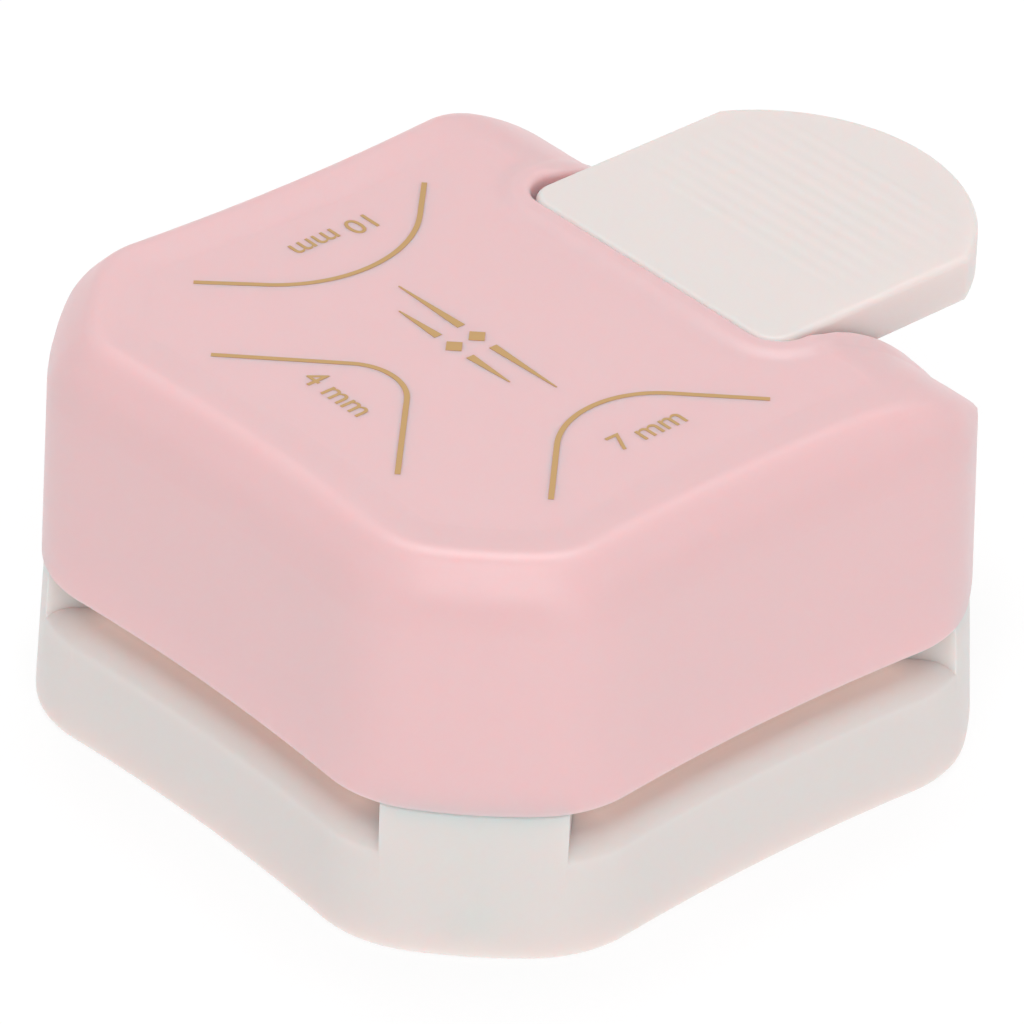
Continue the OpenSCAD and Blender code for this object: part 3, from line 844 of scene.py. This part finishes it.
def paint_slot_light(material, strength=0.25):
    """Paints warm light into the slots: emission on the base stands in for the light that bounces off the
    cover and shines through the plastic into them. With u the larger and v the smaller distance from the
    middle, the slots fill u - v > stop. The painted light grows with the depth (wall - u) and fades towards
    the slot's ends."""
    nodes, links = material.node_tree.nodes, material.node_tree.links
    shader = nodes["Principled BSDF"]

    def step(operation, first, second, clamp=False):
        node = nodes.new("ShaderNodeMath")
        node.operation = operation
        node.use_clamp = clamp
        for socket, value in zip(node.inputs, (first, second)):
            if isinstance(value, (int, float)):
                socket.default_value = value
            else:
                links.new(value, socket)
        return node.outputs[0]

    place = nodes.new("ShaderNodeTexCoord")
    parts = nodes.new("ShaderNodeSeparateXYZ")
    links.new(place.outputs["Object"], parts.inputs[0])
    x, y, z = parts.outputs
    wide, deep = step("ABSOLUTE", x, 0), step("ABSOLUTE", y, 0)
    u = step("MAXIMUM", wide, step("MULTIPLY", y, -1))
    v = step("SUBTRACT", step("ADD", wide, deep), u)
    wedge = step("DIVIDE", step("SUBTRACT", step("SUBTRACT", u, v), stop_u * MM), 0.3 * MM, clamp=True)
    wall = step("ADD", step("DIVIDE", step("MULTIPLY", v, v), 2 * side_r * MM), waist * MM)
    depth = step("DIVIDE", step("SUBTRACT", wall, u), 2.6 * MM, clamp=True)
    level = step("DIVIDE", step("SUBTRACT", z, (floor_z - 1.8) * MM), 0.5 * MM, clamp=True)
    ends = step("DIVIDE", step("SUBTRACT", 16 * MM, v), 3 * MM, clamp=True)
    painted_glow = step("MULTIPLY", step("MULTIPLY", step("MULTIPLY", wedge, depth), level), ends)
    # Painted light: the mask drives a warm emission, so the slot floors glow though they are no lamp.
    links.new(step("MULTIPLY", painted_glow, strength), shader.inputs["Emission Strength"])
    shader.inputs["Emission Color"].default_value = (1.0, 0.64, 0.52, 1.0)


pink_finish = finish_of("pink_moulding", srgb(233, 196, 198), 0.36, depth=1.4, vary=0.006)
white_finish = finish_of("white_moulding", srgb(230, 222, 219), 0.38, depth=1.5, vary=0.006)
base_finish = finish_of("base_moulding", srgb(224, 218, 215), 0.38, depth=3.0, vary=0.006)
# Painted warm light in the base's slots, standing in for light bounced and carried through the plastic.
paint_slot_light(base_finish)
solid_white = finish_of("white_detail", srgb(231, 223, 219), 0.38, vary=0.006)
grey_finish = finish_of("grey_moulding", srgb(150, 150, 152), 0.45, vary=0.02)
gold_finish = finish_of("gold_foil", srgb(206, 166, 112), 0.42, metal=0.35, vary=0.05)
tool_finish = finish_of("tool_steel", srgb(176, 178, 182), 0.28, metal=1.0, stretch=(1, 12, 1), bump=0.05)
plated_finish = finish_of("plated_steel", srgb(205, 205, 208), 0.20, metal=1.0)
spring_finish = finish_of("spring_steel", srgb(150, 152, 156), 0.25, metal=1.0)

shell.data.materials.append(pink_finish)
base.data.materials.clear()
base.data.materials.append(base_finish)
for piece in lever_pieces:
    piece.data.materials.clear()
    piece.data.materials.append(solid_white if piece is ribs_piece else white_finish)
for piece in foil_pieces:
    piece.data.materials.clear()
    piece.data.materials.append(gold_finish)

node_finish = {
    "chip_lid": white_finish, "upper_frame": white_finish, "punch_carrier": grey_finish,
    "die_plate": tool_finish, "punch_r4": tool_finish, "punch_r7": tool_finish, "punch_r10": tool_finish,
    "wear_pad": tool_finish, "guide_posts": plated_finish, "lever_pin": plated_finish,
    "pin_clips": spring_finish, "die_screws": plated_finish, "frame_screws": plated_finish,
    "punch_screws": plated_finish, "case_screws": plated_finish,
    "return_spring_front_left": spring_finish, "return_spring_front_right": spring_finish,
    "return_spring_back_left": spring_finish, "return_spring_back_right": spring_finish}
for name, material in node_finish.items():
    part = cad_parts[name]
    part.data.materials.clear()
    part.data.materials.append(material)
print("finished nodes:", len(node_finish))

# %% [markdown]
# ## Stage, light and camera
# A plain pale floor under an even white sky, with one broad soft light overhead, a key light from the
# camera's side and two low lights from the right and the front.
# The floor glows a little so that it stays paler than the object's own whites.

# %% Floor
floor_mesh = bpy.data.meshes.new("floor")
floor_reach, floor_drop = 3.0, -0.0002
floor_signs = ((-1, -1), (1, -1), (1, 1), (-1, 1))
floor_corners = [(x * floor_reach, y * floor_reach, floor_drop) for x, y in floor_signs]
floor_mesh.from_pydata(floor_corners, [], [(0, 1, 2, 3)])
floor = bpy.data.objects.new("floor", floor_mesh)
scene.collection.objects.link(floor)
paper = bpy.data.materials.new("pale_floor")
paper.use_nodes = True
paper_shader = paper.node_tree.nodes["Principled BSDF"]
paper_shader.inputs["Base Color"].default_value = (0.2, 0.2, 0.2, 1)
paper_shader.inputs["Roughness"].default_value = 0.9
paper_shader.inputs["Emission Color"].default_value = (1, 1, 1, 1)
paper_shader.inputs["Emission Strength"].default_value = 0.8
floor_mesh.materials.append(paper)
floor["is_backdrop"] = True

sky = bpy.data.worlds.new("sky")
scene.world = sky
sky.use_nodes = True
sky.node_tree.nodes["Background"].inputs["Color"].default_value = (1, 1, 1, 1)
sky.node_tree.nodes["Background"].inputs["Strength"].default_value = 0.42


def soft_light(name, spot, size, power, aim=(0, 0, 0.015)):
    """A square area light at spot that faces the aim point."""
    lamp = bpy.data.lights.new(name, "AREA")
    lamp.size = size
    lamp.energy = power
    thing = bpy.data.objects.new(name, lamp)
    thing.location = spot
    thing.rotation_mode = "QUATERNION"
    thing.rotation_quaternion = (Vector(aim) - Vector(spot)).to_track_quat("-Z", "Y")
    scene.collection.objects.link(thing)
    return thing


soft_light("overhead", (-0.14, 0.13, 0.6), 0.34, 1.55)
soft_light("key", (0.3, -0.27, 0.52), 0.42, 1.32)
soft_light("low_right", (0.66, -0.1, 0.2), 0.4, 0.62)
soft_light("low_front", (-0.05, -0.72, 0.12), 0.4, 0.42)
scene.view_settings.view_transform = "Standard"

# %% [markdown]
# The camera looks down at the front corner from about a half metre away through a long lens, so that
# parallel edges stay nearly parallel.

# %% Camera
azimuth, elevation, roll = math.radians(47.91), math.radians(33.46), math.radians(1.91)
distance, target = 556.3, np.array([0, 0, 14.05])
back_way = np.array([math.sin(azimuth) * math.cos(elevation), -math.cos(azimuth) * math.cos(elevation),
                     math.sin(elevation)])
right_way = np.array([math.cos(azimuth), math.sin(azimuth), 0])
up_way = np.cross(back_way, right_way)
right_way, up_way = (right_way * math.cos(roll) + up_way * math.sin(roll),
                     up_way * math.cos(roll) - right_way * math.sin(roll))
spot = target + back_way * distance + 0.212 * right_way - 0.11 * up_way
lens = bpy.data.cameras.new("camera")
lens.lens = 290.6
lens.sensor_width = 36
lens.clip_start, lens.clip_end = 0.01, 10
camera = bpy.data.objects.new("camera", lens)
turn_matrix = Matrix(np.column_stack([right_way, up_way, back_way]).tolist()).to_4x4()
camera.matrix_world = Matrix.Translation((spot * MM).tolist()) @ turn_matrix
scene.collection.objects.link(camera)
scene.camera = camera
print("camera at", [round(float(v), 1) for v in spot], "mm")

# %% [markdown]
# ## Bounds
# The bounds of everything shown, floor left out, are measured at the end.

# %% Finish
low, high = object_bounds()
